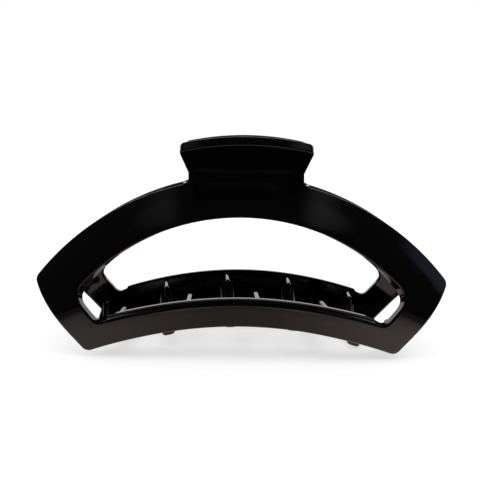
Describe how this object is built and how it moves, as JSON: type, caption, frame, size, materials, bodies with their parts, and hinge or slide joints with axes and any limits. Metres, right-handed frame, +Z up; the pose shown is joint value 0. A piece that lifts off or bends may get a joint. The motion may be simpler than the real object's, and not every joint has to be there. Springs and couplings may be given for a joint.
{
  "type": "claw clip",
  "caption": "Hair claw clip: two wide arched jaws with open windows and interleaving teeth, hinged on a sprung pin below flared handles.",
  "frame": {"origin": "middle of the closed clip's footprint, at the level of the lowest tooth tips it stands on", "axes": "+X along the hinge pin and the clip's width, +Y from the front jaw to the rear jaw, +Z up through the hinge to the handles"},
  "size_m": [0.1278, 0.0542, 0.0658],
  "materials": {
    "jaw_plastic": "high gloss, moulded",
    "pin_steel": "bright drawn wire",
    "spring_steel": "drawn spring wire"
  },
  "bodies": {
    "rear_half": {"rear_jaw": "jaw_plastic", "hinge_pin": "pin_steel", "torsion_spring": "spring_steel"},
    "front_half": {"front_jaw": "jaw_plastic"}
  },
  "joints": [
    {"name": "jaw_hinge", "type": "hinge", "parent": "rear_half", "child": "front_half", "pos_m": [0, 0, 0.0574], "axis": [-1, 0, 0], "range_deg": [0, 110], "stiffness_Nm_per_rad": 0.15, "springref_deg": -34.38, "deforming": ["torsion_spring"]}
  ]
}
